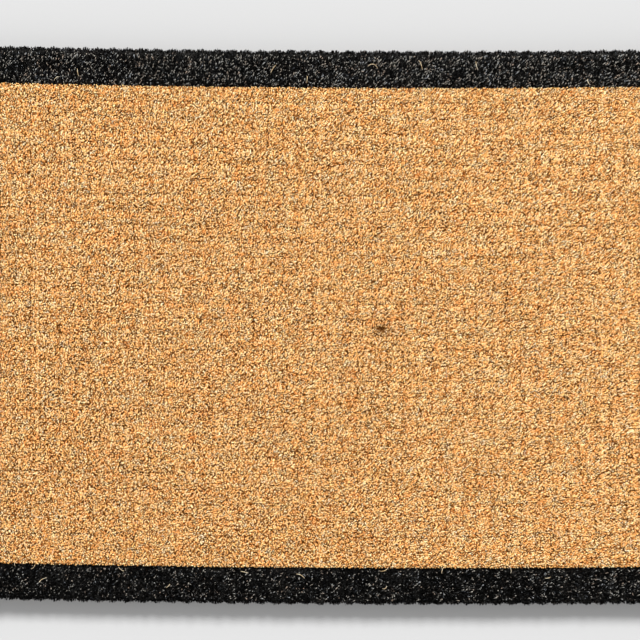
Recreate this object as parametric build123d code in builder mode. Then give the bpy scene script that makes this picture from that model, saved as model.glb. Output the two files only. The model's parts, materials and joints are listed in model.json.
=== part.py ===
"""Hand-woven coir door mat: natural brush field, black-dyed brush border, woven yarn base, plaited edge.

Millimetres. X runs along the mat's length, Y across it and Z up from the floor. The origin is on the
floor, under the middle of the mat. Front is -Y, back is +Y, left is -X and right is +X.

The base is woven. Chain yarns run along the mat in pairs, one yarn below and one above the weft, and
the weft is one yarn that is carried to and fro across them. Tufts of coir fibre are set over each weft
shot between two chains, so the brush stands in rows across the mat. A flat plait of coir is laid round
the edge of the base, under the overhanging brush, and twine loops lash it on.
"""

import os

from build123d import *

# Overall sizes
mat_length = 762.0
mat_width = 457.0
mat_height = 32.0

# Woven base
row_spacing = 12.3  # wanted distance between weft shots, rounded to a whole number of rows
tuft_spacing = 12.8  # wanted distance between tufts along a row, rounded in the same way
weft_diameter = 3.0
chain_width = 3.4
chain_thickness = 2.6
chain_corner = 1.0
yarn_gap = 0.1  # left between yarns that press on each other
weft_tail = 4.0  # length of the weft's two free ends past its last turn

# Brush
border_rows = 2  # black rows at each end of the mat
border_tufts = 2  # black tufts at each end of every row
outer_tuft_inset = 10.9  # from the outermost tufts' middle to the edge of the brush, at the long sides
border_drop = 1.0  # how much lower the black brush is cut
brush_corner_radius = 14.0
brush_shoulder = 5.0  # rounding of the brush's upper outer edge

# Plaited edge and its lashing
twine_diameter = 1.2
braid_width = 5.5
braid_corner_radius = 10.0  # on the plait's middle line
braid_edge_radius = 1.5
brush_lip = 1.5  # the brush overhangs the lashing by this much
stitch_bend = 1.6  # middle-line radius of a lashing loop's corners

# Heights of the layers
lower_chain_z = chain_thickness / 2
weft_z = chain_thickness + yarn_gap + weft_diameter / 2
upper_chain_z = weft_z + weft_diameter / 2 + yarn_gap + chain_thickness / 2
base_height = upper_chain_z + chain_thickness / 2
brush_floor = base_height + yarn_gap
braid_bottom = twine_diameter + 2 * yarn_gap
braid_height = base_height - 2 * braid_bottom

# The plait stands inside the brush's edge, and the base stands inside the plait
braid_outer_inset = brush_lip + twine_diameter + yarn_gap
braid_inner_inset = braid_outer_inset + braid_width
braid_x = mat_length / 2 - braid_outer_inset - braid_width / 2
braid_y = mat_width / 2 - braid_outer_inset - braid_width / 2
base_half_length = mat_length / 2 - braid_inner_inset - yarn_gap
base_half_width = mat_width / 2 - braid_inner_inset - yarn_gap

# Rows of tufts, one over each weft shot. The chains turn round the first and the last shot
chain_turn_radius = (upper_chain_z - lower_chain_z) / 2
last_row_x = base_half_length - chain_turn_radius - chain_thickness / 2
row_count = round(2 * last_row_x / row_spacing) + 1
row_pitch = 2 * last_row_x / (row_count - 1)
row_lines = [(row - (row_count - 1) / 2) * row_pitch for row in range(row_count)]

# Tufts along a row, with a pair of chains between two tufts
last_tuft_y = mat_width / 2 - outer_tuft_inset
tuft_count = round(2 * last_tuft_y / tuft_spacing) + 1
tuft_pitch = 2 * last_tuft_y / (tuft_count - 1)
chain_count = tuft_count - 1
chain_lines = [(chain - (chain_count - 1) / 2) * tuft_pitch for chain in range(chain_count)]

# Edge of the natural brush
field_half_length = last_row_x - (border_rows - 0.5) * row_pitch
field_half_width = last_tuft_y - (border_tufts - 0.5) * tuft_pitch


def save(part, node):
    """Label a finished piece and write it under its node's name."""
    part.label = node
    export_step(part, f"parts/{node}.step")


os.makedirs("parts", exist_ok=True)

# Lower chain yarns: straight, pressed flat by the weaving, and what the mat lies on
with BuildPart() as lower_chain_yarns:
    with BuildSketch(Plane.YZ.offset(-last_row_x)):
        with Locations(*[(y, lower_chain_z) for y in chain_lines]):
            RectangleRounded(chain_width, chain_thickness, chain_corner)
    extrude(amount=2 * last_row_x)
save(lower_chain_yarns.part, "lower_chain_yarns")

# Upper chain yarns: each turns down round the first and the last weft shot to meet its lower yarn
with BuildPart() as upper_chain_yarn:
    with BuildLine(Plane.XZ) as chain_path:
        left_turn = CenterArc((-last_row_x, weft_z), chain_turn_radius, 270, -180)
        Line(left_turn @ 1, (last_row_x, upper_chain_z))
        CenterArc((last_row_x, weft_z), chain_turn_radius, 90, -180)
    with BuildSketch(Plane(origin=left_turn @ 0, x_dir=(0, 1, 0), z_dir=left_turn % 0)):
        RectangleRounded(chain_width, chain_thickness, chain_corner)
    sweep(path=chain_path.line)
with BuildPart() as upper_chain_yarns:
    with Locations(*[(0, y, 0) for y in chain_lines]):
        add(upper_chain_yarn.part)
save(upper_chain_yarns.part, "upper_chain_yarns")

# Weft: one yarn carried to and fro across the mat, with a half-round turn after each shot
weft_turn_y = base_half_width - weft_diameter / 2 - row_pitch / 2
with BuildPart() as weft_yarn:
    with BuildLine(Plane.XY.offset(weft_z)) as weft_path:
        shot_start = (row_lines[0], -weft_turn_y - weft_tail)
        for row, x in enumerate(row_lines[:-1]):
            side = 1 if row % 2 == 0 else -1
            Line(shot_start, (x, side * weft_turn_y))
            CenterArc((x + row_pitch / 2, side * weft_turn_y), row_pitch / 2, 180, -side * 180)
            shot_start = (x + row_pitch, side * weft_turn_y)
        Line(shot_start, (row_lines[-1], -side * (weft_turn_y + weft_tail)))
    with BuildSketch(Plane(origin=weft_path.line @ 0, z_dir=weft_path.line % 0)):
        Circle(weft_diameter / 2)
    sweep(path=weft_path.line)
save(weft_yarn.part, "weft_yarn")

# Natural brush: the field of uncoloured coir inside the border
with BuildPart() as natural_pile:
    with BuildSketch(Plane.XY.offset(brush_floor)):
        Rectangle(2 * field_half_length, 2 * field_half_width)
    extrude(amount=mat_height - brush_floor)
save(natural_pile.part, "natural_pile")


def black_pile(x_range, y_range):
    """The black brush between these limits, rounded off where it is the mat's edge or corner."""
    border_height = mat_height - border_drop - brush_floor
    middle = (sum(x_range) / 2, sum(y_range) / 2)
    with BuildPart() as pile:
        with BuildSketch(Plane.XY.offset(brush_floor)):
            RectangleRounded(mat_length, mat_width, brush_corner_radius)
        extrude(amount=border_height)
        fillet(pile.faces().sort_by(Axis.Z)[-1].edges(), radius=brush_shoulder)
        with BuildSketch(Plane.XY.offset(brush_floor)):
            with Locations(middle):
                Rectangle(x_range[1] - x_range[0], y_range[1] - y_range[0])
        extrude(amount=border_height, mode=Mode.INTERSECT)
    return pile.part


# Black brush: whole rows at the two ends, and row ends along the two long sides
field_x_range = (-field_half_length, field_half_length)
mat_y_range = (-mat_width / 2, mat_width / 2)
save(black_pile(field_x_range, (-mat_width / 2, -field_half_width)), "black_pile_front")
save(black_pile(field_x_range, (field_half_width, mat_width / 2)), "black_pile_back")
save(black_pile((-mat_length / 2, -field_half_length), mat_y_range), "black_pile_left")
save(black_pile((field_half_length, mat_length / 2), mat_y_range), "black_pile_right")


def edge_braid(half_run, distance, angle):
    """One side of the plait, with the corner at its far end, turned by angle about the mat's middle."""
    straight = half_run - braid_corner_radius
    with BuildPart() as braid:
        with BuildLine(Plane.XY.offset(base_height / 2)) as path:
            Line((-straight, -distance), (straight, -distance))
            CenterArc((straight, -distance + braid_corner_radius), braid_corner_radius, 270, 90)
        with BuildSketch(Plane(origin=path.line @ 0, z_dir=path.line % 0)):
            RectangleRounded(braid_height, braid_width, braid_edge_radius)
        sweep(path=path.line)
    return braid.part.rotate(Axis.Z, angle)


save(edge_braid(braid_x, braid_y, 0), "edge_braid_front")
save(edge_braid(braid_y, braid_x, 90), "edge_braid_right")
save(edge_braid(braid_x, braid_y, 180), "edge_braid_back")
save(edge_braid(braid_y, braid_x, 270), "edge_braid_left")


def edge_stitches(places, inner_leg, distance, angle):
    """Twine loops round the plait and the base's outer yarn, at these places along one side."""
    outer_leg = distance + braid_width / 2 + yarn_gap + twine_diameter / 2
    loop_width = outer_leg - inner_leg
    loop_height = braid_height + 2 * yarn_gap + twine_diameter
    with BuildPart() as stitch:
        with BuildSketch(Plane.YZ, mode=Mode.PRIVATE) as outline:
            with Locations((-(outer_leg + inner_leg) / 2, base_height / 2)):
                RectangleRounded(loop_width, loop_height, stitch_bend)
        loop = outline.sketch.face().outer_wire()
        with BuildSketch(Plane(origin=loop @ 0, z_dir=loop % 0)):
            Circle(twine_diameter / 2)
        sweep(path=loop)
    with BuildPart() as stitches:
        with Locations(*[(place, 0, 0) for place in places]):
            add(stitch.part)
    return stitches.part.rotate(Axis.Z, angle)


# Along the long sides a loop goes through each turn of the weft, so its inner leg is inside the turn
turn_leg = base_half_width - weft_diameter - yarn_gap - twine_diameter / 2
turn_lines = [x + row_pitch / 2 for x in row_lines[:-1]]
save(edge_stitches(turn_lines[1::2], turn_leg, braid_y, 0), "edge_stitches_front")
save(edge_stitches([-x for x in turn_lines[0::2]], turn_leg, braid_y, 180), "edge_stitches_back")

# At the ends it goes round the outermost shot, close beside every second pair of chains
shot_leg = last_row_x - weft_diameter / 2 - yarn_gap - twine_diameter / 2
beside_chain = chain_width / 2 + yarn_gap + twine_diameter / 2
shot_places = [y - beside_chain for y in chain_lines[1::2]]
save(edge_stitches(shot_places, shot_leg, braid_x, 90), "edge_stitches_right")
save(edge_stitches([-y for y in shot_places], shot_leg, braid_x, 270), "edge_stitches_left")
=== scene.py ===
import json
import math

import bpy
import numpy as np
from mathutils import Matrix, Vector, noise

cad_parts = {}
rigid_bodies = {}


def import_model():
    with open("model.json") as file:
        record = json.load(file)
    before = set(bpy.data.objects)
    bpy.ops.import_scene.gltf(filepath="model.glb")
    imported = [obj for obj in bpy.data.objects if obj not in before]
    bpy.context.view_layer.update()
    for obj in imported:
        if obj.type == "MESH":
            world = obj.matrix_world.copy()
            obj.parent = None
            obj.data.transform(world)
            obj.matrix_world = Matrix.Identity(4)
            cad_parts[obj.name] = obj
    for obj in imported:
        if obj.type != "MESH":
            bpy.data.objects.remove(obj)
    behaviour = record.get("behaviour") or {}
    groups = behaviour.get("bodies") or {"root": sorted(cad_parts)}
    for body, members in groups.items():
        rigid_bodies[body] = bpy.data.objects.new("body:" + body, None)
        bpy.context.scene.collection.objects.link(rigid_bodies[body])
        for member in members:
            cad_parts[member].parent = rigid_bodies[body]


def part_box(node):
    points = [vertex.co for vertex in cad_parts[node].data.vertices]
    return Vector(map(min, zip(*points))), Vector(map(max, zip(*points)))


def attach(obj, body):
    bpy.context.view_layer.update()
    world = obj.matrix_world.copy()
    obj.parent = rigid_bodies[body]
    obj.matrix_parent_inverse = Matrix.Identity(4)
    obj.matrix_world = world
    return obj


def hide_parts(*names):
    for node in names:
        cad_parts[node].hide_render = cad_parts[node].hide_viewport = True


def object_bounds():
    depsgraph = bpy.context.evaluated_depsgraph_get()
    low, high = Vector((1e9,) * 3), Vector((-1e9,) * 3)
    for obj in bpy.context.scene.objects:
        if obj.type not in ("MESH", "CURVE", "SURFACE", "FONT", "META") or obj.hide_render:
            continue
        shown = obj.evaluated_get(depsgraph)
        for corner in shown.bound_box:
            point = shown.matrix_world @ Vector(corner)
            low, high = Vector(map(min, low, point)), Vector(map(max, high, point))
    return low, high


for leftover in list(bpy.data.objects):
    bpy.data.objects.remove(leftover)

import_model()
cad_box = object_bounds()


# ---- Chain yarns ------------------------------------------------------------------------------------
# The chain is rough two-ply coir yarn that runs along the mat in pairs. The lower yarn of a pair is
# trodden flat on the floor. The upper one holds the tufts down on the weft and turns in at the ends.

CHAINS = 34
ROWS = 61
CHAIN_WIDTH = 0.0034
chain_low, chain_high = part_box("lower_chain_yarns")
upper_low, upper_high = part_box("upper_chain_yarns")
last_row = chain_high.x
row_pitch = 2 * last_row / (ROWS - 1)
last_chain = chain_high.y - CHAIN_WIDTH / 2
tuft_pitch = 2 * last_chain / (CHAINS - 1)
chain_ys = [chain_low.y + CHAIN_WIDTH / 2 + tuft_pitch * i for i in range(CHAINS)]
row_xs = [-last_row + row_pitch * i for i in range(ROWS)]


def add_node(group, kind, feeds=None, **settings):
    """Adds a node, feeds its named or numbered sockets with values or sockets, and gives its outputs."""
    made = group.nodes.new(kind)
    for name, value in settings.items():
        setattr(made, name, value)
    for key, value in (feeds or {}).items():
        if isinstance(key, int):
            socket = made.inputs[key]
        else:
            socket = next(s for s in made.inputs if s.name == key and s.enabled)
        if isinstance(value, bpy.types.NodeSocket):
            group.links.new(value, socket)
        else:
            socket.default_value = value
    return made.outputs


def only_output(outputs):
    """The first of a node's outputs that its settings leave in use."""
    return next(s for s in outputs if s.enabled)


def put(name, data):
    """A new object in the scene, at the origin."""
    made = bpy.data.objects.new(name, data)
    bpy.context.scene.collection.objects.link(made)
    return made


class Tree:
    """A Geometry Nodes tree that is built node by node, with named inputs of each kind."""

    def __init__(self, name, **inputs):
        self.group = bpy.data.node_groups.new(name, "GeometryNodeTree")
        for kind, labels in inputs.items():
            for label in labels.split(", "):
                self.group.interface.new_socket(label, in_out="INPUT", socket_type="NodeSocket" + kind)
        self.group.interface.new_socket("Geometry", in_out="OUTPUT", socket_type="NodeSocketGeometry")
        self.inputs = self.group.nodes.new("NodeGroupInput").outputs

    def node(self, kind, feeds=None, **settings):
        return only_output(add_node(self.group, kind, feeds, **settings))

    def __getitem__(self, label):
        return self.inputs[label]

    def math(self, operation, *values, clamp=False):
        feeds = dict(enumerate(values))
        return self.node("ShaderNodeMath", feeds, operation=operation, use_clamp=clamp)

    def vector(self, operation, *values):
        """A Vector Math node, whose last value is its scale where the operation is SCALE."""
        sockets = (0, 3) if operation == "SCALE" else (0, 1, 2)
        return self.node("ShaderNodeVectorMath", dict(zip(sockets, values)), operation=operation)

    def xyz(self, x=0.0, y=0.0, z=0.0):
        return self.node("ShaderNodeCombineXYZ", {"X": x, "Y": y, "Z": z})

    def split(self, value):
        return add_node(self.group, "ShaderNodeSeparateXYZ", {0: value})

    def clamped(self, value, low, high):
        return self.node("ShaderNodeClamp", {"Value": value, "Min": low, "Max": high})

    def shape(self, label):
        """The geometry of the object that is given as this input."""
        return add_node(self.group, "GeometryNodeObjectInfo", {"Object": self[label]})["Geometry"]

    def chance(self, low, high, draw=0, kind="FLOAT", **feeds):
        """A random number or vector for each point. Each draw from the tree's seed is a new set."""
        seed = self.math("ADD", self["Seed"], draw) if draw else self["Seed"]
        feeds = {"Min": low, "Max": high, "Seed": seed, **feeds}
        return self.node("FunctionNodeRandomValue", feeds, data_type=kind)

    def spread(self, reach, draw=0):
        """A random vector for each point, up to this far either way along each axis."""
        return self.chance(tuple(-r for r in reach), reach, draw, "FLOAT_VECTOR")

    def capture(self, geometry, **fields):
        """Fixes these fields on the geometry as it is here, and returns it with their fixed values."""
        made = self.group.nodes.new("GeometryNodeCaptureAttribute")
        for label, value in fields.items():
            made.capture_items.new("VECTOR" if value.type == "VECTOR" else "FLOAT", label)
            self.group.links.new(value, made.inputs[label])
        self.group.links.new(geometry, made.inputs["Geometry"])
        return made.outputs["Geometry"], {label: made.outputs[label] for label in fields}

    def finish(self, geometry, material):
        """Ends the tree: no instances, shaded smooth, one material."""
        real = self.node("GeometryNodeRealizeInstances", {"Geometry": geometry})
        shaded = self.node("GeometryNodeSetShadeSmooth", {"Geometry": real, "Shade Smooth": True})
        dressed = self.node("GeometryNodeSetMaterial", {"Geometry": shaded, "Material": material})
        out = self.group.nodes.new("NodeGroupOutput")
        self.group.links.new(dressed, out.inputs[0])

    def grow(self, name, **values):
        """Runs the tree with these inputs and leaves the result as a plain mesh object."""
        carrier = put(name + "_tree", bpy.data.meshes.new(name + "_tree"))
        modifier = carrier.modifiers.new("tree", "NODES")
        modifier.node_group = self.group
        for item in self.group.interface.items_tree:
            if item.in_out == "INPUT":
                modifier[item.identifier] = values[item.name.replace(" ", "_")]
        graph = bpy.context.evaluated_depsgraph_get()
        mesh = bpy.data.meshes.new_from_object(carrier.evaluated_get(graph), depsgraph=graph)
        mesh.name = name
        bpy.data.objects.remove(carrier)
        return put(name, mesh)


def line_object(name, lines, closed=False):
    """A curve object of straight-run splines through these lists of points."""
    curve = bpy.data.curves.new(name, "CURVE")
    curve.dimensions = "3D"
    for line in lines:
        spline = curve.splines.new("POLY")
        spline.points.add(len(line) - 1)
        spline.points.foreach_set("co", np.array([(*p, 1) for p in line], float).ravel())
        spline.use_cyclic_u = closed
    return put(name, curve)


def spun_yarn_tree():
    """Two plies twisted together along every line of a path, as one tube of waisted section."""
    tree = Tree(
        "spun yarn",
        Object="Path, Section",
        Float="Radius, Step, Twist Length, Hairiness",
        Int="Seed",
        Material="Material",
    )
    run = tree.node(
        "GeometryNodeResampleCurve", {"Curve": tree.shape("Path"), "Length": tree["Step"]}, mode="LENGTH"
    )
    along = add_node(tree.group, "GeometryNodeSplineParameter")["Length"]
    turn = tree.math("MULTIPLY", tree.math("DIVIDE", along, tree["Twist Length"]), math.tau)
    twisted = tree.node("GeometryNodeSetCurveTilt", {"Curve": run, "Tilt": turn})
    swell = tree.chance(0.88, 1.12)
    tube = tree.node(
        "GeometryNodeCurveToMesh",
        {
            "Curve": twisted,
            "Profile Curve": tree.shape("Section"),
            "Scale": tree.math("MULTIPLY", swell, tree["Radius"]),
            "Fill Caps": True,
        },
    )
    wander = tree.vector("SCALE", tree.spread((1, 1, 1)), tree["Hairiness"])
    rough = tree.node("GeometryNodeSetPosition", {"Geometry": tube, "Offset": wander})
    tree.finish(rough, tree["Material"])
    return tree


def shader_group(name, inputs, outputs):
    """An empty shader node group with these named sockets, and its input and output nodes."""
    group = bpy.data.node_groups.new(name, "ShaderNodeTree")
    for direction, sockets in (("INPUT", inputs), ("OUTPUT", outputs)):
        for label, kind in sockets.items():
            group.interface.new_socket(label, in_out=direction, socket_type="NodeSocket" + kind)
    return group, group.nodes.new("NodeGroupInput").outputs, group.nodes.new("NodeGroupOutput").inputs


def streaks_group():
    """Fine noise drawn out along the fibres, and the same with soft patches added to it."""
    group, given, made = shader_group(
        "coir_streaks",
        {"Place": "Vector", "Stretch": "Vector", "Patch Scale": "Float", "Patchiness": "Float"},
        {"Fibre": "Float", "Streak": "Float"},
    )
    place, patchiness = given["Place"], given["Patchiness"]
    drawn_out = add_node(group, "ShaderNodeMapping", {"Vector": place, "Scale": given["Stretch"]})["Vector"]
    fibre = add_node(group, "ShaderNodeTexNoise", {"Vector": drawn_out, "Scale": 1.0, "Detail": 3.0})["Fac"]
    patch = add_node(group, "ShaderNodeTexNoise", {"Vector": place, "Scale": given["Patch Scale"]})["Fac"]
    streak = add_node(group, "ShaderNodeMath", {0: patch, 1: patchiness, 2: fibre}, operation="MULTIPLY_ADD")
    group.links.new(fibre, made["Fibre"])
    group.links.new(streak["Value"], made["Streak"])
    return group


def new_material(name, specular):
    """A new material, its node tree and its surface shader's inputs."""
    material = bpy.data.materials.new(name)
    material.use_nodes = True
    surface = material.node_tree.nodes["Principled BSDF"].inputs
    surface["Specular IOR Level"].default_value = specular
    return material, material.node_tree, surface


def colour_ramp(tree, stops, source, steps=False):
    """A colour ramp with these (position, colour) stops, fed from a socket."""
    made = tree.nodes.new("ShaderNodeValToRGB")
    made.color_ramp.interpolation = "CONSTANT" if steps else "LINEAR"
    elements = made.color_ramp.elements
    while len(elements) < len(stops):
        elements.new(0.5)
    for element, (position, colour) in zip(elements, stops):
        element.position = position
        element.color = (*colour, 1)
    tree.links.new(source, made.inputs["Fac"])
    return made.outputs["Color"]


def gloss(tree, roughness, spread, source):
    """A roughness that falls as the source rises, round this middle value."""
    limits = {"Value": source, "To Min": roughness + spread, "To Max": roughness - spread}
    return add_node(tree, "ShaderNodeMapRange", limits)["Result"]


PATCH_SCALE = 60.0
FIRST_STREAK, LAST_STREAK = 0.52, 0.94  # the part of the streaks' range that the colours share
coir_streaks = streaks_group()


def streaked_material(name, colours, stretch, roughness, bump):
    """Spun or matted coir: streaks of light and dark fibre, drawn out along one direction."""
    material, tree, surface = new_material(name, 0.03)
    place = add_node(tree, "ShaderNodeTexCoord")["Object"]
    values = {"Place": place, "Stretch": stretch, "Patch Scale": PATCH_SCALE, "Patchiness": 0.5}
    streaks = add_node(tree, "ShaderNodeGroup", values, node_tree=coir_streaks)
    step = (LAST_STREAK - FIRST_STREAK) / (len(colours) - 1)
    stops = [(FIRST_STREAK + step * i, colour) for i, colour in enumerate(colours)]
    relief = add_node(tree, "ShaderNodeBump", {"Distance": bump, "Height": streaks["Fibre"]})
    tree.links.new(colour_ramp(tree, stops, streaks["Streak"]), surface["Base Color"])
    tree.links.new(gloss(tree, roughness, 0.1, streaks["Fibre"]), surface["Roughness"])
    tree.links.new(relief["Normal"], surface["Normal"])
    return material


two_ply = line_object(
    "two_ply_section",
    [
        [(1, 0, 0), (0.6, 0.55, 0), (0, 0.3, 0), (-0.6, 0.55, 0)]
        + [(-1, 0, 0), (-0.6, -0.55, 0), (0, -0.3, 0), (0.6, -0.55, 0)]
    ],
    closed=True,
)
chain_coir = streaked_material(
    "chain_coir",
    [(0.09, 0.045, 0.018), (0.30, 0.165, 0.07), (0.52, 0.32, 0.15), (0.72, 0.52, 0.29)],
    (500, 1600, 1600),
    0.75,
    0.0004,
)
yarn_tree = spun_yarn_tree()
lower_z = chain_high.z / 2
upper_z = upper_high.z - chain_high.z / 2
CHAIN_LIFT = 0.0003  # keeps the lower yarns' thick places off the floor


def chain_line(y, z, sag):
    """A chain yarn's line, which bends a little towards its partner between two weft shots."""
    steps = 4 * (ROWS - 1)
    xs = [-last_row + 2 * last_row * i / steps for i in range(steps + 1)]
    return [(x, y, z + sag * math.sin(math.pi * (x + last_row) / row_pitch) ** 2) for x in xs]


def turn_line(y, side):
    """The half-round turn at the end of a chain pair, from its lower to its upper yarn."""
    middle = (lower_z + upper_z) / 2
    reach = middle - lower_z
    angles = [math.pi * i / 8 for i in range(1, 8)]
    return [(side * (last_row + reach * math.sin(a)), y, middle - reach * math.cos(a)) for a in angles]


lower_lines = [chain_line(y, lower_z + CHAIN_LIFT, 0.0004) for y in chain_ys]
upper_lines = [
    turn_line(y, -1) + chain_line(y, upper_z, -0.0004) + turn_line(y, 1)[::-1] for y in chain_ys
]
for name, node, lines, step in (
    ("chain_yarns_below", "lower_chain_yarns", lower_lines, 0.0049),
    ("chain_yarns_above", "upper_chain_yarns", upper_lines, 0.0056),
):
    path = line_object(name + "_path", lines)
    yarns = yarn_tree.grow(
        name,
        Path=path,
        Section=two_ply,
        Radius=chain_high.z / 2 * 1.1,
        Step=step,
        Twist_Length=0.019,
        Hairiness=0.00012,
        Seed=3,
        Material=chain_coir,
    )
    bpy.data.objects.remove(path)
    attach(yarns, "root")
    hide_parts(node)


# ---- Weft -------------------------------------------------------------------------------------------
# One coir yarn is carried to and fro across the mat between the lower and the upper chains. It shows
# from below between the tufts, and at the long sides where it turns back into the next shot.

weft_low, weft_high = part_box("weft_yarn")
weft_radius = (weft_high.z - weft_low.z) / 2
weft_z = (weft_high.z + weft_low.z) / 2
weft_turn = weft_high.y - weft_radius - row_pitch / 2
weft_line = []
for row, x in enumerate(row_xs):
    side = 1 if row % 2 == 0 else -1
    weft_line += [(x, side * weft_turn * (i / CHAINS - 1), weft_z) for i in range(2 * CHAINS + 1)]
    if row < ROWS - 1:
        for a in (math.pi * i / 6 for i in range(1, 6)):
            turn_x = x + row_pitch / 2 * (1 - math.cos(a))
            weft_line.append((turn_x, side * (weft_turn + row_pitch / 2 * math.sin(a)), weft_z))
weft_path = line_object("weft_path", [weft_line])
weft_coir = streaked_material(
    "weft_coir",
    [(0.07, 0.035, 0.014), (0.24, 0.13, 0.055), (0.44, 0.26, 0.12), (0.62, 0.42, 0.22)],
    (1600, 500, 1600),
    0.78,
    0.0004,
)
weft = yarn_tree.grow(
    "weft_yarn_laid",
    Path=weft_path,
    Section=two_ply,
    Radius=weft_radius,
    Step=0.0058,
    Twist_Length=0.026,
    Hairiness=0.00010,
    Seed=5,
    Material=weft_coir,
)
bpy.data.objects.remove(weft_path)
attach(weft, "root")
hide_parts("weft_yarn")


# ---- Tuft loops -------------------------------------------------------------------------------------
# Each tuft is a lock of coir fibre folded under a weft shot, with both its ends standing up as brush.
# The folds show on the mat's underside, in natural coir inside and in black-dyed coir at the border.

TUFTS = CHAINS + 1
tuft_ys = [chain_ys[0] - tuft_pitch / 2 + tuft_pitch * i for i in range(TUFTS)]
field_low, field_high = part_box("natural_pile")


def fold_mesh():
    """A lock of strands folded round below a weft shot: a half-round bundle, ridged across its width."""
    stations, arc = 6, 5
    width, radius = tuft_pitch - CHAIN_WIDTH - 0.0006, 0.0027
    points, faces = [], []
    for i in range(stations):
        y = width * (i / (stations - 1) - 0.5)
        r = radius * (1.0 if i % 2 else 0.78) * (0.8 if i in (0, stations - 1) else 1.0)
        for j in range(arc):
            a = math.pi * j / (arc - 1)
            points.append((r * math.cos(a), y, -r * math.sin(a) * 0.96))
    for i in range(stations - 1):
        for j in range(arc - 1):
            a = i * arc + j
            faces.append((a, a + 1, a + arc + 1, a + arc))
        first, last = i * arc, i * arc + arc - 1
        faces.append((first + arc, last + arc, last, first))
    faces.append(tuple(range(arc))[::-1])
    faces.append(tuple((stations - 1) * arc + j for j in range(arc)))
    mesh = bpy.data.meshes.new("fold")
    mesh.from_pydata(points, [], faces)
    return bpy.data.objects.new("fold", mesh)


def fold_tree():
    """A fold under every weft shot between two chains, inside the natural field or outside it."""
    tree = Tree(
        "tuft folds",
        Object="Fold",
        Int="Rows, Tufts, Seed",
        Float="Length, Width, Height",
        Vector="Field",
        Bool="Natural",
        Material="Material",
    )
    feeds = {"Size X": "Length", "Size Y": "Width", "Vertices X": "Rows", "Vertices Y": "Tufts"}
    grid = tree.node("GeometryNodeMeshGrid", {socket: tree[label] for socket, label in feeds.items()})
    place = tree.split(tree.node("GeometryNodeInputPosition"))
    field = tree.split(tree["Field"])
    in_x = tree.math("LESS_THAN", tree.math("ABSOLUTE", place["X"]), field["X"])
    in_y = tree.math("LESS_THAN", tree.math("ABSOLUTE", place["Y"]), field["Y"])
    wanted = tree.math("COMPARE", tree.math("MULTIPLY", in_x, in_y), tree["Natural"], 0.5)
    lifted = tree.node("GeometryNodeSetPosition", {"Geometry": grid, "Offset": tree.xyz(z=tree["Height"])})
    folds = tree.node(
        "GeometryNodeInstanceOnPoints",
        {
            "Points": lifted,
            "Selection": wanted,
            "Instance": tree.shape("Fold"),
            "Rotation": tree.spread((0.12, 0.1, 0.1)),
            "Scale": tree.chance((0.9, 0.88, 0.9), (1.1, 1.04, 1.06), kind="FLOAT_VECTOR"),
        },
    )
    tree.finish(folds, tree["Material"])
    return tree


fold = fold_mesh()
folds = fold_tree()
matted_natural = streaked_material(
    "matted_natural_coir",
    [(0.10, 0.045, 0.016), (0.36, 0.185, 0.07), (0.60, 0.35, 0.15), (0.80, 0.57, 0.30)],
    (350, 2200, 700),
    0.72,
    0.0005,
)
matted_black = streaked_material(
    "matted_black_coir",
    [(0.0010, 0.0010, 0.0009), (0.003, 0.003, 0.0028), (0.009, 0.0085, 0.008), (0.04, 0.038, 0.035)],
    (350, 2200, 700),
    0.6,
    0.0005,
)
for name, natural, material, slot in (
    ("natural_tuft_folds", True, matted_natural, "natural_coir"),
    ("black_tuft_folds", False, matted_black, "black_coir"),
):
    piece = folds.grow(
        name,
        Fold=fold,
        Rows=ROWS,
        Tufts=TUFTS,
        Length=2 * last_row,
        Width=tuft_ys[-1] - tuft_ys[0],
        Height=weft_z,
        Field=field_high,
        Natural=natural,
        Seed=11,
        Material=material,
    )
    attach(piece, "root")
bpy.data.objects.remove(fold)


# ---- Packed brush -----------------------------------------------------------------------------------
# Below their tips the fibres stand so close that they are one matted mass. It fills the brush from the
# base up to a few millimetres under the cut, and its outer walls slope out from the plait.

mat_low, mat_high = cad_box
brush_floor = field_low.z
PACKED_DEPTH = 0.0055
CORNER = 0.014
SCALLOP = 0.0010
BOW_END = 0.264  # the brush runs straight from here to the mat's ends
BOW_START, BOW_LEAN, BOW_BEND = -0.0013, -0.0063, 0.0308


def bow(x):
    """How far the hand-beaten brush strays across the mat's width, at a place along its length."""
    reach = max(-BOW_END, min(BOW_END, x))
    return BOW_START + BOW_LEAN * reach + BOW_BEND * reach * reach


def within_outline(x, y, inset):
    """Moves a point in until it is this far inside the mat's round-cornered, scalloped outline."""
    past_x = max(0.0, abs(x) - (mat_high.x - CORNER))
    past_y = max(0.0, abs(y) - (mat_high.y - CORNER))
    past = math.hypot(past_x, past_y)
    along = (x + last_row) / row_pitch if past_y > past_x else (y - tuft_ys[0]) / tuft_pitch
    uneven = noise.noise(Vector((round(along) * 0.37, past_y > past_x, x > 0)))
    room = CORNER - inset + SCALLOP * (math.cos(math.tau * along) + 0.8 * uneven)
    if past <= room:
        return x, y
    return (
        math.copysign(mat_high.x - CORNER + past_x * room / past, x) if past_x else x,
        math.copysign(mat_high.y - CORNER + past_y * room / past, y) if past_y else y,
    )


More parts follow.
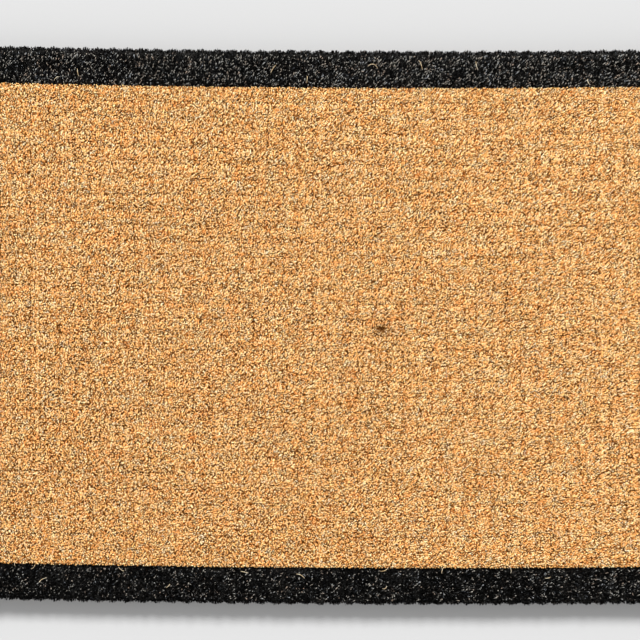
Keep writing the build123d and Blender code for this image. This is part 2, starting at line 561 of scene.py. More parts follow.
def packed_block(name, node, layers, cell, material, top_material):
    """A closed block of matted fibre with a rough top. Each layer has a height and an inset."""
    low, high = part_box(node)
    nx = round((high.x - low.x) / cell)
    ny = round((high.y - low.y) / cell)
    ring = [(i, 0) for i in range(nx)] + [(nx, j) for j in range(ny)]
    ring += [(i, ny) for i in range(nx, 0, -1)] + [(0, j) for j in range(ny, 0, -1)]
    inner = [(i, j) for i in range(1, nx) for j in range(1, ny)]
    points, faces, rings = [], [], []
    for number, (z, inset) in enumerate(layers):
        last = number == len(layers) - 1
        cells = ring + (inner if number == 0 or last else [])
        index = {}
        for i, j in cells:
            x = low.x + (high.x - low.x) * i / nx
            y = low.y + (high.y - low.y) * j / ny
            x, y = within_outline(x, y, inset)
            rough = noise.noise(Vector((x, y, z)) * 260)
            index[i, j] = len(points)
            points.append((x, y + bow(x) * (z > brush_floor), z + (0.0010 * rough if number else 0)))
        rings.append([index[cell_at] for cell_at in ring])
        if number == 0 or last:
            for i in range(nx):
                for j in range(ny):
                    quad = [index[i, j], index[i + 1, j], index[i + 1, j + 1], index[i, j + 1]]
                    faces.append(quad if last else quad[::-1])
    top_faces = range(len(faces) - nx * ny, len(faces))
    for below, above in zip(rings, rings[1:]):
        for k in range(len(ring)):
            n = (k + 1) % len(ring)
            faces.append((below[k], below[n], above[n], above[k]))
    mesh = bpy.data.meshes.new(name)
    mesh.from_pydata(points, [], faces)
    mesh.materials.append(material)
    mesh.materials.append(top_material)
    tops = [number in top_faces for number in range(len(faces))]
    mesh.polygons.foreach_set("material_index", np.array(tops, np.int32))
    mesh.shade_smooth()
    block = put(name, mesh)
    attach(block, "root")
    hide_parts(node)
    return block


packed_top = mat_high.z - PACKED_DEPTH
# Painted shade: the natural block's top gets a darker copy of the matted coir, for the shade down between
# the fibre tips.
painted_shade_natural = streaked_material(
    "shaded_natural_coir",
    [(0.035, 0.012, 0.003), (0.09, 0.036, 0.010), (0.20, 0.090, 0.028), (0.45, 0.24, 0.09)],
    (900, 1500, 900),
    0.8,
    0.0008,
)
field_layers = [(brush_floor, 0.0), (packed_top, 0.0)]
block = packed_block(
    "natural_packed_brush", "natural_pile", field_layers, 0.006, matted_natural, painted_shade_natural
)
border_layers = [
    (brush_floor, 0.0075),
    (0.0150, 0.0022),
    (0.0210, 0.0002),
    (0.0245, 0.0009),
    (packed_top - 0.0010, 0.0048),
]
border_blocks = {}
for side in ("front", "back", "left", "right"):
    block = packed_block(
        f"black_packed_brush_{side}", "black_pile_" + side, border_layers, 0.003, matted_black, matted_black
    )
    border_blocks[side] = block


# ---- Natural brush ----------------------------------------------------------------------------------
# The tips of the brush: stiff coir fibres cut level, standing in tufts that fan out and lean one way.
# Colours run from pale straw to orange and dark brown, from fibre to fibre and in soft patches.

BANDS = 8  # tints of fibre, one above the other on the fibres' own map
WORN_SPOT = (0.0510, -0.0008, 0.0)
SPOT_RADIUS, SPOT_SURROUND, SPOT_DEPTH = 0.0055, 0.0100, 0.0028
SEAM_REACH = 0.0026
NAP = (0.72, 0.70, 0.0)  # the way that the brush as a whole lies over
DOME = 0.0010  # how much lower a tuft is cut at its rim


def tip_mesh():
    """The upper end of one fibre, a unit high and wide: a cut top that narrows down to a point."""
    angles = (0.0, math.tau / 3, 2 * math.tau / 3)
    points = [(0.5 * math.cos(a), 0.5 * math.sin(a), 0.0) for a in angles]
    mesh = bpy.data.meshes.new("fibre_tip")
    mesh.from_pydata(points + [(0, 0, -1)], [], [(0, 1, 2), (1, 0, 3), (2, 1, 3), (0, 2, 3)])
    mesh.attributes.new("along", "FLOAT", "POINT").data.foreach_set("value", [1.0, 0.96, 0.93, 0.0])
    mesh.attributes.new("across", "FLOAT", "POINT").data.foreach_set("value", [0.0, 1.0, -1.0, 0.0])
    return bpy.data.objects.new("fibre_tip", mesh)


def add_bow(tree, place):
    """The same sideways stray as bow() gives, for points of a tree."""
    x = tree.clamped(tree.split(place)["X"], -BOW_END, BOW_END)
    bent = tree.math("MULTIPLY", tree.math("MULTIPLY", x, x), BOW_BEND)
    leant = tree.math("MULTIPLY_ADD", x, BOW_LEAN, BOW_START)
    return tree.vector("ADD", place, tree.xyz(y=tree.math("ADD", bent, leant)))


def add_map(tree, fibres, shade, tint):
    """Lays each fibre on the fibres' map: its shade across, its tint and its own height upwards."""
    for label, value in (("shade", shade), ("tint", tint)):
        fibres = tree.node(
            "GeometryNodeStoreNamedAttribute",
            {"Geometry": fibres, "Name": label, "Value": value},
            data_type="FLOAT",
            domain="INSTANCE",
        )
    real = tree.node("GeometryNodeRealizeInstances", {"Geometry": fibres})

    def read(name):
        return tree.node("GeometryNodeInputNamedAttribute", {"Name": name}, data_type="FLOAT")

    u = tree.math("MULTIPLY_ADD", read("shade"), 0.96, 0.02)
    u = tree.math("MULTIPLY_ADD", read("across"), 0.0016, u)
    v = tree.math("MULTIPLY_ADD", read("along"), 0.86, 0.07)
    v = tree.math("DIVIDE", tree.math("ADD", v, read("tint")), BANDS)
    mapped = tree.node(
        "GeometryNodeStoreNamedAttribute",
        {"Geometry": real, "Name": "OFBake", "Value": tree.xyz(u, v)},
        data_type="FLOAT2",
        domain="CORNER",
    )
    for name in ("shade", "tint", "along", "across"):
        mapped = tree.node("GeometryNodeRemoveAttribute", {"Geometry": mapped, "Name": name})
    return mapped


def patches(tree, place, scale, seed):
    """Soft patches over the mat, from 0 to 1, in another place for another seed."""
    moved = tree.vector("ADD", place, (seed * 1.7, seed * 0.9, 0.0))
    return tree.node("ShaderNodeTexNoise", {"Vector": moved, "Scale": scale, "Detail": 2.0})


def brush_tree():
    """Fibre tips over a rectangle of the mat, at the cut height, fanning out from their tufts."""
    tree = Tree(
        "cut brush",
        Object="Fibre",
        Vector="Middle, Size, First Tuft, Pitch, Half Mat, Seam, Worn Spot",
        Float="Spacing, Thickness, Length, Cut Height, Uneven, Lean, Disorder, Fan, Corner, Shoulder, "
        "Seam Drop, Contrast, Tone",
        Int="Seed",
        Material="Material",
    )
    size = tree.split(tree["Size"])
    across = tree.math("ROUND", tree.math("DIVIDE", size["Y"], tree["Spacing"]))
    grid = tree.node(
        "GeometryNodeMeshGrid",
        {
            "Size X": size["X"],
            "Size Y": size["Y"],
            "Vertices X": tree.math("DIVIDE", size["X"], tree["Spacing"]),
            "Vertices Y": across,
        },
    )
    number = tree.node("GeometryNodeInputIndex")
    line = tree.math("FLOOR", tree.math("DIVIDE", tree.math("ADD", number, 0.5), across))
    in_line = tree.math("SUBTRACT", number, tree.math("MULTIPLY", line, across))
    other = tree.math("MODULO", tree.math("ADD", line, in_line), 2.0)
    scatter = tree.vector("SCALE", tree.spread((0.5, 0.5, 0)), tree["Spacing"])
    points = tree.node(
        "GeometryNodeSetPosition", {"Geometry": grid, "Offset": tree.vector("ADD", scatter, tree["Middle"])}
    )
    place = tree.node("GeometryNodeInputPosition")

    # How near each point is to the mat's edge, and which way the edge lies
    room = tree.vector("SUBTRACT", tree["Half Mat"], tree.vector("ABSOLUTE", place))
    corner = tree.xyz(tree["Corner"], tree["Corner"])
    past = tree.vector("MAXIMUM", tree.vector("SUBTRACT", corner, room), (0, 0, 0))
    past = tree.vector("MULTIPLY", past, (1, 1, 0))
    inside = tree.math("SUBTRACT", tree["Corner"], tree.vector("LENGTH", past))
    outward = tree.vector("NORMALIZE", tree.vector("MULTIPLY", past, tree.vector("SIGN", place)))
    edge = tree.math("SUBTRACT", 1.0, tree.math("DIVIDE", inside, tree["Shoulder"]), clamp=True)

    # Each point's tuft, and where it stands in the tuft
    steps = tree.vector("DIVIDE", tree.vector("SUBTRACT", place, tree["First Tuft"]), tree["Pitch"])
    tuft = tree.vector("FLOOR", tree.vector("ADD", steps, (0.5, 0.5, 0.5)))
    off = tree.vector("MULTIPLY", tree.vector("SUBTRACT", steps, tuft), (1, 1, 0))
    tuft_number = tree.vector("DOT_PRODUCT", tuft, (101, 1, 0))
    tuft_chance = tree.chance(0.0, 1.0, ID=tuft_number, Seed=4)

    # The worn place, where fibres are broken off short; they are also painted dark there, as painted shade
    # in the hollow
    from_spot = tree.vector("MULTIPLY", tree.vector("SUBTRACT", place, tree["Worn Spot"]), (1, 1.6, 0))
    from_spot = tree.vector("LENGTH", from_spot)
    near_spot = tree.math("SUBTRACT", 1.4, tree.math("DIVIDE", from_spot, SPOT_SURROUND), clamp=True)
    worn_and_shaded_spot = tree.math("SUBTRACT", 1.0, tree.math("DIVIDE", from_spot, SPOT_RADIUS), clamp=True)
    worn_and_shaded_spot = tree.math("MULTIPLY", worn_and_shaded_spot, tree.chance(0.4, 1.6, 9))

    # How near it is to the seam between the natural and the black brush, where fibres stand upright
    from_seam = tree.split(tree.vector("SUBTRACT", tree.vector("ABSOLUTE", place), tree["Seam"]))
    from_seam = tree.math("ABSOLUTE", tree.math("MAXIMUM", from_seam["X"], from_seam["Y"]))
    seam = tree.math("SUBTRACT", 1.0, tree.math("DIVIDE", from_seam, SEAM_REACH), clamp=True)

    # How far below the cut each fibre ends
    dome = tree.vector("DOT_PRODUCT", off, tree.vector("MULTIPLY", off, (1.2, 0.5, 0)))
    dome = tree.math("MULTIPLY", dome, DOME)
    short = tree.math("MULTIPLY", tree.chance(0.0, 1.0, 1), tree["Uneven"])
    round_off = tree.math("MULTIPLY", tree.math("MULTIPLY", edge, edge), tree["Shoulder"])
    drop = tree.math("ADD", tree.math("ADD", dome, short), tree.math("MULTIPLY", round_off, 0.8))
    drop = tree.math("MULTIPLY_ADD", worn_and_shaded_spot, SPOT_DEPTH, drop)
    drop = tree.math("MULTIPLY_ADD", seam, tree["Seam Drop"], drop)
    height = tree.math("SUBTRACT", tree["Cut Height"], drop)

    # Which way it leans: with the nap, at random, out from its tuft and over the mat's edge
    swing = tree.chance(-0.15, 1.1, 2)
    nap = tree.vector("SCALE", NAP, tree.math("MULTIPLY", swing, tree["Lean"]))
    lean = tree.vector("ADD", nap, tree.vector("SCALE", tree.spread((1, 1, 0), 3), tree["Disorder"]))
    lean = tree.vector("ADD", lean, tree.vector("SCALE", off, tree["Fan"]))
    lean = tree.vector("SCALE", lean, tree.math("SUBTRACT", 1.0, tree.math("MULTIPLY", seam, 0.85)))
    lean = tree.vector("SCALE", lean, tree.math("SUBTRACT", 1.0, near_spot))
    lean = tree.vector("ADD", lean, tree.vector("SCALE", outward, tree.math("MULTIPLY", edge, 0.9)))
    lean = tree.vector("ADD", lean, (0, 0, 1))
    spin = tree.xyz(z=tree.chance(0.0, math.tau, 4))
    width = tree.math("MULTIPLY", tree.chance(0.6, 1.4, 5), tree["Thickness"])
    long = tree.math("MULTIPLY", tree.chance(0.75, 1.2, 6), tree["Length"])

    # Each fibre's shade and tint, with soft patches, paler streaks here and there along a row as painted
    # highlights, painted light that rises towards the back, and painted shade in the worn place
    light = tree.chance(-0.35, 0.35, 7)
    light = tree.math("MULTIPLY_ADD", tree.math("SUBTRACT", other, 0.5), 0.50, light)
    shade = tree.math("MULTIPLY_ADD", light, tree["Contrast"], tree["Tone"])
    shade = tree.math("MULTIPLY_ADD", tree.math("SUBTRACT", tuft_chance, 0.5), 0.03, shade)
    soft = tree.math("SUBTRACT", patches(tree, place, 70.0, 1), 0.5)
    shade = tree.math("MULTIPLY_ADD", soft, 0.07, shade)
    # Painted shade: the fibres of the worn place are made dark, for the shade in the hollow.
    shade = tree.math("MULTIPLY_ADD", worn_and_shaded_spot, -1.6, shade)
    # Painted highlights: paler streaks along the middle of a row, where the row's fibres would catch the
    # light.
    from_row = tree.math("MULTIPLY", tree.math("ABSOLUTE", tree.split(off)["X"]), 5.0)
    in_row = tree.math("SUBTRACT", 1.0, from_row, clamp=True)
    drawn_out = tree.vector("MULTIPLY", place, (1.0, 0.35, 1.0))
    streak = tree.math("SUBTRACT", patches(tree, drawn_out, 80.0, 3), 0.52, clamp=True)
    shade = tree.math("MULTIPLY_ADD", tree.math("MULTIPLY", in_row, streak), 1.6, shade)
    # Painted light: the fibres are made paler towards the mat's back, where the key light stands, and darker
    # towards the front.
    shade = tree.math("MULTIPLY_ADD", tree.split(place)["Y"], 0.12, shade)
    shade = tree.clamped(shade, 0.0, 1.0)
    hue = tree.math("SUBTRACT", patches(tree, place, 90.0, 2), 0.5)
    hue = tree.math("MULTIPLY_ADD", hue, 1.2, tree.chance(0.1, 0.9, 8))
    hue = tree.clamped(tree.math("FLOOR", tree.math("MULTIPLY", hue, BANDS)), 0.0, BANDS - 1.0)

    # All of this is worked out on the flat points, and fixed there before they rise to the cut
    present = tree.math("GREATER_THAN", inside, tree.chance(0.0020, 0.0040, 10))
    rise = tree.vector("ADD", add_bow(tree, place), tree.xyz(z=height))
    flat, fixed = tree.capture(points, present=present, lean=lean, shade=shade, hue=hue, rise=rise)
    raised = tree.node("GeometryNodeSetPosition", {"Geometry": flat, "Position": fixed["rise"]})
    turn = tree.node("FunctionNodeAlignRotationToVector", {"Vector": fixed["lean"]}, axis="Z")
    fibres = tree.node(
        "GeometryNodeInstanceOnPoints",
        {
            "Points": raised,
            "Selection": fixed["present"],
            "Instance": tree.shape("Fibre"),
            "Rotation": turn,
            "Scale": tree.xyz(width, width, long),
        },
    )
    fibres = tree.node("GeometryNodeRotateInstances", {"Instances": fibres, "Rotation": spin})
    tree.finish(add_map(tree, fibres, fixed["shade"], fixed["hue"]), tree["Material"])
    return tree


def map_reading_group():
    """Reads the fibres' map: a fibre's shade, the place of its tint, and the height up the fibre."""
    group, given, made = shader_group(
        "fibre_map_reading",
        {"Map": "Vector", "Bands": "Float"},
        {"Shade": "Float", "Tint": "Float", "Up": "Float"},
    )
    at = add_node(group, "ShaderNodeSeparateXYZ", {0: given["Map"]})
    bands = add_node(group, "ShaderNodeMath", {0: at["Y"], 1: given["Bands"]}, operation="MULTIPLY")
    up = add_node(group, "ShaderNodeMath", {0: bands["Value"]}, operation="FRACT")
    for source, label in ((at["X"], "Shade"), (at["Y"], "Tint"), (up["Value"], "Up")):
        group.links.new(source, made[label])
    return group


def fibre_tint_and_root_shade_group():
    """A fibre's colour: its body colour, stained by its tint, and darkened towards its root as painted
    shade.
    """
    group, given, made = shader_group(
        "fibre_dye", {"Body": "Color", "Tint": "Color", "Depth": "Color"}, {"Colour": "Color"}
    )
    colour = given["Body"]
    for layer in ("Tint", "Depth"):
        feeds = {"Factor": 1.0, "A": colour, "B": given[layer]}
        product = add_node(group, "ShaderNodeMix", feeds, data_type="RGBA", blend_type="MULTIPLY")
        colour = only_output(product)
    group.links.new(colour, made["Colour"])
    return group


map_reading = map_reading_group()
fibre_dye = fibre_tint_and_root_shade_group()


def fibre_material(name, colours, tints, root, specular, roughness):
    """Coir fibre, coloured by its shade, its tint and its height, which are read from the fibres' map. The
    height darkens it towards the root as painted shade.
    """
    material, tree, surface = new_material(name, specular)
    fibre_map = add_node(tree, "ShaderNodeUVMap", uv_map="OFBake")["UV"]
    reading = add_node(tree, "ShaderNodeGroup", {"Map": fibre_map, "Bands": BANDS}, node_tree=map_reading)
    tint_stops = [(i / BANDS, colour) for i, colour in enumerate(tints)]
    # Painted shade: towards its root the fibre's colour falls to the root colour, for the shade down among
    # the other fibres.
    root_shade_stops = [(0.05, root), (0.9, (1, 1, 1))]
    layers = {
        "Body": colour_ramp(tree, colours, reading["Shade"]),
        "Tint": colour_ramp(tree, tint_stops, reading["Tint"], steps=True),
        "Depth": colour_ramp(tree, root_shade_stops, reading["Up"]),
    }
    tint_and_root_shade = add_node(tree, "ShaderNodeGroup", layers, node_tree=fibre_dye)
    tree.links.new(tint_and_root_shade["Colour"], surface["Base Color"])
    tree.links.new(gloss(tree, roughness, 0.12, reading["Shade"]), surface["Roughness"])
    return material


natural_fibre = fibre_material(
    "natural_fibre",
    [
        (0.0, (0.13, 0.036, 0.005)),
        (0.2, (0.44, 0.170, 0.036)),
        (0.45, (0.82, 0.42, 0.145)),
        (0.7, (1.0, 0.60, 0.25)),
        (1.0, (1.0, 0.82, 0.50)),
    ],
    [
        (1.0, 0.78, 0.58),
        (1.0, 0.86, 0.70),
        (1.0, 0.93, 0.80),
        (1.0, 0.98, 0.90),
        (1.0, 1.0, 0.92),
        (1.0, 1.04, 0.88),
        (0.96, 1.04, 1.08),
        (0.90, 1.02, 1.20),
    ],
    # the root colour: painted shade at the natural fibres' lower ends
    (0.28, 0.17, 0.07),
    0.03,
    0.58,
)
fibre_tip = tip_mesh()
brush = brush_tree()
brush_values = {
    "Fibre": fibre_tip,
    "Length": 0.0085,
    "Uneven": 0.0024,
    "Lean": 0.72,
    "Disorder": 0.42,
    "Fan": 0.45,
    "First_Tuft": (-last_row, tuft_ys[0], 0.0),
    "Pitch": (row_pitch, tuft_pitch, 1.0),
    "Half_Mat": (mat_high.x, mat_high.y, 1.0),
    "Corner": CORNER,
    "Shoulder": 0.0065,
    "Seam": (field_high.x, field_high.y, 0.0),
    "Worn_Spot": WORN_SPOT,
}
NATURAL_PARTS = 6
TIP_SPACING = 0.00104
part_length = (field_high.x - field_low.x) / NATURAL_PARTS
for number in range(NATURAL_PARTS):
    piece = brush.grow(
        f"natural_brush_{number + 1}",
        **brush_values,
        Middle=(field_low.x + part_length * (number + 0.5), 0.0, 0.0),
        Size=(part_length, field_high.y - field_low.y - 0.001, 0.0),
        Spacing=TIP_SPACING,
        Cut_Height=mat_high.z,
        Thickness=0.00098,
        Seam_Drop=0.0,
        Contrast=1.15,
        Tone=0.605,
        Seed=20 + 20 * number,
        Material=natural_fibre,
    )
    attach(piece, "root")
    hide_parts("natural_pile")


# ---- Black brush ------------------------------------------------------------------------------------
# The border is the same coir dyed black before weaving, cut a little lower. The dyeing is uneven, so a few
# fibres stay grey or pale, and these also stand in for the glints of shine on the black fibres as painted
# highlights. The outermost tufts fan out over the plait, with their whole length in view.

black_fibre = fibre_material(
    "black_fibre",
    [
        (0.0, (0.0006, 0.0006, 0.0006)),
        (0.5, (0.0045, 0.0043, 0.0040)),
        (0.75, (0.022, 0.0215, 0.0205)),
        # The palest stops: grey, undyed fibres that also stand in for glints of shine, as painted
        # highlights.
        (0.92, (0.080, 0.078, 0.074)),
        (1.0, (0.42, 0.39, 0.34)),
    ],
    [
        (1.15, 0.95, 0.85),
        (1.08, 0.98, 0.92),
        (1.0, 1.0, 1.0),
        (1.0, 1.0, 1.0),
        (1.0, 1.0, 1.0),
        (0.96, 1.0, 1.04),
        (0.93, 1.0, 1.10),
        (0.9, 1.0, 1.18),
    ],
    # the root colour: painted shade at the black fibres' lower ends
    (0.3, 0.3, 0.3),
    0.015,
    0.45,
)


FRINGE_CLEARANCE = 0.0045  # the fringe's fibres start at least this far above the floor


def fringe_tree():
    """Fibres that lie up the outer walls of a packed block and end just outside it."""
    tree = Tree(
        "brush fringe",
        Object="Fibre, Block",
        Float="Density, Thickness, Length, Reach, Disorder, Contrast, Tone",
        Int="Seed",
        Material="Material",
    )
    normal = tree.node("GeometryNodeInputNormal")
    place = tree.node("GeometryNodeInputPosition")
    facing_out = tree.math("GREATER_THAN", tree.vector("DOT_PRODUCT", normal, place), 0.02)
    facing_side = tree.math("LESS_THAN", tree.math("ABSOLUTE", tree.split(normal)["Z"]), 0.93)
    scatter = add_node(
        tree.group,
        "GeometryNodeDistributePointsOnFaces",
        {
            "Mesh": tree.shape("Block"),
            "Selection": tree.math("MULTIPLY", facing_out, facing_side),
            "Density": tree["Density"],
            "Seed": tree["Seed"],
        },
    )
    stray = tree.vector("SCALE", tree.spread((1, 1, 0.5), 1), tree["Disorder"])
    lean = tree.vector("MULTIPLY", scatter["Normal"], (0.75, 0.75, 0.3))
    lean = tree.vector("ADD", tree.vector("ADD", lean, (0.1, 0.1, 1.0)), stray)
    lean = tree.vector("NORMALIZE", lean)
    light = tree.chance(-0.5, 0.5, 2)
    shade = tree.math("MULTIPLY_ADD", light, tree["Contrast"], tree["Tone"])
    shade = tree.clamped(shade, 0.0, 1.0)
    hue = tree.math("FLOOR", tree.chance(0.0, BANDS - 0.01, 3))
    points, fixed = tree.capture(scatter["Points"], lean=lean, shade=shade, hue=hue)
    reach = tree.math("MULTIPLY", tree.chance(0.3, 1.0, 4), tree["Reach"])
    raised = tree.node(
        "GeometryNodeSetPosition", {"Geometry": points, "Offset": tree.vector("SCALE", fixed["lean"], reach)}
    )
    width = tree.math("MULTIPLY", tree.chance(0.6, 1.4, 5), tree["Thickness"])
    long = tree.math("MULTIPLY", tree.chance(0.7, 1.2, 6), tree["Length"])
    long = tree.math("MINIMUM", long, tree.math("SUBTRACT", tree.split(place)["Z"], FRINGE_CLEARANCE))
    fibres = tree.node(
        "GeometryNodeInstanceOnPoints",
        {
            "Points": raised,
            "Instance": tree.shape("Fibre"),
            "Rotation": tree.node("FunctionNodeAlignRotationToVector", {"Vector": fixed["lean"]}, axis="Z"),
            "Scale": tree.xyz(width, width, long),
        },
    )
    spin = tree.xyz(z=tree.chance(0.0, math.tau, 7))
    fibres = tree.node("GeometryNodeRotateInstances", {"Instances": fibres, "Rotation": spin})
    tree.finish(add_map(tree, fibres, fixed["shade"], fixed["hue"]), tree["Material"])
    return tree


fringe = fringe_tree()
BLACK_THICKNESS = 0.00072
# Painted shade: the front border gets a darker tone and the back border a lighter one, as the key light
# comes from beyond the back.
tones_with_painted_shade = {"front": 0.36, "back": 0.47, "left": 0.42, "right": 0.42}
for number, (side, tone_with_painted_shade) in enumerate(tones_with_painted_shade.items()):
    low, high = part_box("black_pile_" + side)
    top = brush.grow(
        f"black_brush_{side}",
        **brush_values,
        Middle=(low + high) / 2 * Vector((1, 1, 0)),
        Size=high - low,
        Spacing=TIP_SPACING,
        Cut_Height=high.z,
        Thickness=BLACK_THICKNESS,
        Seam_Drop=0.0018,
        Contrast=1.25,
        Tone=tone_with_painted_shade,
        Seed=200 + 20 * number,
        Material=black_fibre,
    )
    outer = fringe.grow(
        f"black_fringe_{side}",
        Fibre=fibre_tip,
        Block=border_blocks[side],
        Density=1000000.0,
        Thickness=BLACK_THICKNESS,
        Length=0.0090,
        Reach=0.0034,
        Disorder=0.35,
        Contrast=1.0,
        Tone=tone_with_painted_shade,
        Seed=300 + 20 * number,
        Material=black_fibre,
    )
    for piece in (top, outer):
        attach(piece, "root")
        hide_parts("black_pile_" + side)
bpy.data.objects.remove(fibre_tip)


# ---- Stray fibres -----------------------------------------------------------------------------------
# Single fibres that have come loose from the brush lie curled on top of it, pale against both colours.

STRAYS = 300
STRAY_POINTS = 8
rng = np.random.default_rng(7)
stray_lines = []
for number in range(STRAYS):
    x = rng.uniform(-0.37, 0.37)
    y = rng.uniform(-0.218, 0.218)
    heading = rng.normal(1.2, 0.9)
    curl = rng.normal(0.0, 0.17)
    length = rng.uniform(0.004, 0.010)
    z = mat_high.z - (0.0006 if abs(y) < field_high.y and abs(x) < field_high.x else 0.0014)
    last = STRAY_POINTS - 1
    line = []
    for k in range(STRAY_POINTS):
        rise = 0.0006 * math.sin(math.pi * k / last) - 0.0012 * (k in (0, last))
        line.append((x, y + bow(x), z + rise))
        x += length / last * math.cos(heading)
        y += length / last * math.sin(heading)
        heading += curl
    stray_lines.append(line)
stray_path = line_object("stray_path", stray_lines)
thin_section = line_object(
    "thin_section", [[(1, 0, 0), (-0.5, 0.87, 0), (-0.5, -0.87, 0)]], closed=True
)
pale_coir = streaked_material(
    "pale_coir",
    [(0.50, 0.30, 0.13), (0.80, 0.58, 0.32), (0.95, 0.80, 0.55), (1.0, 0.92, 0.72)],
    (500, 500, 500),
    0.5,
    0.0001,
)
strays = yarn_tree.grow(
    "stray_fibres",
    Path=stray_path,
    Section=thin_section,
    Radius=0.00018,
    Step=0.0012,
    Twist_Length=0.02,
    Hairiness=0.00002,
    Seed=9,
    Material=pale_coir,
)
for helper in (stray_path, thin_section):
    bpy.data.objects.remove(helper)
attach(strays, "root")


# ---- Plaited edge -----------------------------------------------------------------------------------
# Three strands of coir are plaited in one length that goes all round the base, close under the brush.

BRAID_WIDTH = 0.0055
BRAID_CORNER = 0.010
STRAND = 0.00145
TURNS = 132
TURN_POINTS = 10
braid_low, braid_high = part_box("edge_braid_right")
braid_x = braid_high.x - BRAID_WIDTH / 2
braid_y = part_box("edge_braid_back")[1].y - BRAID_WIDTH / 2
braid_z = (braid_low.z + braid_high.z) / 2
side_rise = (braid_high.z - braid_low.z) / 2 - STRAND


def round_the_edge(distance):
    """The point this far along the plait's middle line, and the direction outwards from there."""
    runs = (
        (Vector((-braid_x + BRAID_CORNER, -braid_y)), 2 * (braid_x - BRAID_CORNER), -math.pi / 2),
        (Vector((braid_x, -braid_y + BRAID_CORNER)), 2 * (braid_y - BRAID_CORNER), 0.0),
        (Vector((braid_x - BRAID_CORNER, braid_y)), 2 * (braid_x - BRAID_CORNER), math.pi / 2),
        (Vector((-braid_x, braid_y - BRAID_CORNER)), 2 * (braid_y - BRAID_CORNER), math.pi),
    )
    for start, length, facing in runs:
        ahead = Vector((-math.sin(facing), math.cos(facing)))
        outward = Vector((math.cos(facing), math.sin(facing)))
        if distance <= length:
            return start + ahead * distance, outward
        distance -= length
        bend = BRAID_CORNER * math.pi / 2
        if distance <= bend:
            angle = facing + distance / BRAID_CORNER
            outward_here = Vector((math.cos(angle), math.sin(angle)))
            centre = start + ahead * length - outward * BRAID_CORNER
            return centre + outward_here * BRAID_CORNER, outward_here
        distance -= bend
    return runs[0][0], Vector((0, -1))


braid_length = 4 * (braid_x + braid_y - 2 * BRAID_CORNER) + math.tau * BRAID_CORNER
strands = []
for strand in range(3):
    line = []
    for i in range(TURNS * TURN_POINTS):
        middle, outward = round_the_edge(braid_length * i / (TURNS * TURN_POINTS))
        phase = math.tau * (i / TURN_POINTS + strand / 3)
        point = middle + outward * ((BRAID_WIDTH / 2 - STRAND) * math.sin(phase))
        line.append((*point, braid_z + side_rise * math.sin(2 * phase)))
    strands.append(line)
strand_path = line_object("strand_path", strands, closed=True)
plait_coir = streaked_material(
    "plait_coir",
    [(0.10, 0.05, 0.02), (0.33, 0.19, 0.08), (0.56, 0.36, 0.17), (0.76, 0.56, 0.32)],
    (700, 700, 1500),
    0.75,
    0.0004,
)
plait = yarn_tree.grow(
    "plaited_edge",
    Path=strand_path,
    Section=two_ply,
    Radius=STRAND,
    Step=0.0024,
    Twist_Length=0.012,
    Hairiness=0.00010,
    Seed=13,
    Material=plait_coir,
)
bpy.data.objects.remove(strand_path)
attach(plait, "root")
for side in ("front", "right", "back", "left"):
    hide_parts("edge_braid_" + side)


# ---- Lashing loops ----------------------------------------------------------------------------------
# Thin coir twine goes round the plait and through the base's outer yarn in separate loops. On the long
# sides there is one at every second turn of the weft, and at the ends one beside every second chain.

TWINE_RADIUS = 0.0006
LOOP_BEND = 0.0016


def loop_line(inner, outer, low, high):
    """A lashing loop's line across the edge: a rectangle with rounded corners, as (reach, z) pairs."""
    line = []
    for centre_r, centre_z, first in (
        (outer - LOOP_BEND, high - LOOP_BEND, 0),
        (inner + LOOP_BEND, high - LOOP_BEND, 1),
        (inner + LOOP_BEND, low + LOOP_BEND, 2),
        (outer - LOOP_BEND, low + LOOP_BEND, 3),
    ):
        for k in range(4):
            a = math.pi / 2 * (first + k / 3)
            line.append((centre_r + LOOP_BEND * math.cos(a), centre_z + LOOP_BEND * math.sin(a)))
    return line


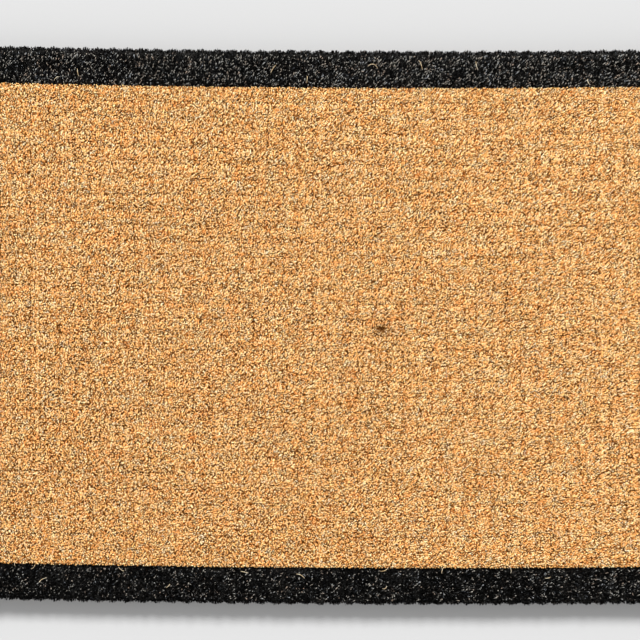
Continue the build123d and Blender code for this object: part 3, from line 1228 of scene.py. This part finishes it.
turn_xs = [x + row_pitch / 2 for x in row_xs[:-1]]
beside_chain = CHAIN_WIDTH / 2 + 0.0001 + TWINE_RADIUS
shot_ys = [y - beside_chain for y in chain_ys[1::2]]
twine_coir = streaked_material(
    "twine_coir",
    [(0.14, 0.075, 0.03), (0.36, 0.21, 0.09), (0.58, 0.38, 0.19), (0.78, 0.60, 0.36)],
    (1500, 1500, 1500),
    0.7,
    0.0003,
)
for side, along_x, sign, places in (
    ("front", True, -1, turn_xs[1::2]),
    ("right", False, 1, shot_ys),
    ("back", True, 1, turn_xs[0::2]),
    ("left", False, -1, shot_ys),
):
    low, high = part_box("edge_stitches_" + side)
    reaches = (low.y, high.y) if along_x else (low.x, high.x)
    inner = min(abs(r) for r in reaches) + TWINE_RADIUS
    outer = max(abs(r) for r in reaches) - TWINE_RADIUS
    loop = loop_line(inner, outer, low.z + TWINE_RADIUS, high.z - TWINE_RADIUS)
    if along_x:
        loops = [[(place, sign * r, z) for r, z in loop] for place in places]
    else:
        loops = [[(sign * r, place, z) for r, z in loop] for place in places]
    loop_path = line_object("loop_path", loops, closed=True)
    lashing = yarn_tree.grow(
        "lashing_" + side,
        Path=loop_path,
        Section=two_ply,
        Radius=TWINE_RADIUS,
        Step=0.0014,
        Twist_Length=0.0062,
        Hairiness=0.00003,
        Seed=17,
        Material=twine_coir,
    )
    bpy.data.objects.remove(loop_path)
    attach(lashing, "root")
    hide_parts("edge_stitches_" + side)


# ---- Stage, light and camera ------------------------------------------------------------------------
# A plain pale floor, one soft key light from beyond the mat's back side, and even light from all round.

FLOOR_GREY = 0.437
KEY_STRENGTH = 4.1
KEY_ELEVATION = math.radians(52)
KEY_WIDTH = math.radians(15)
SKY_STRENGTH = 0.88
CAMERA_HEIGHT = 1.247  # above the brush

floor_mesh = bpy.data.meshes.new("studio_floor")
floor_mesh.from_pydata([(-4, -4, 0), (4, -4, 0), (4, 4, 0), (-4, 4, 0)], [], [(0, 1, 2, 3)])
floor = put("studio_floor", floor_mesh)
floor_paint, _, floor_surface = new_material("studio_floor_paint", 0.0)
floor_surface["Base Color"].default_value = (FLOOR_GREY, FLOOR_GREY, FLOOR_GREY, 1)
floor_surface["Roughness"].default_value = 0.9
floor_mesh.materials.append(floor_paint)

key = put("key_light", bpy.data.lights.new("key_light", "SUN"))
key.data.energy = KEY_STRENGTH
key.data.angle = KEY_WIDTH
key.rotation_euler = (-(math.pi / 2 - KEY_ELEVATION), 0, 0)
world = bpy.data.worlds.new("studio")
world.use_nodes = True
world.node_tree.nodes["Background"].inputs["Color"].default_value = (1, 1, 1, 1)
world.node_tree.nodes["Background"].inputs["Strength"].default_value = SKY_STRENGTH
bpy.context.scene.world = world
bpy.context.scene.view_settings.view_transform = "Standard"

camera = put("camera", bpy.data.cameras.new("camera"))
camera.data.lens = 85
camera.data.sensor_width = 36
camera.location = (0, 0.0050, CAMERA_HEIGHT + mat_high.z)
bpy.context.scene.camera = camera

bpy.data.objects.remove(two_ply)
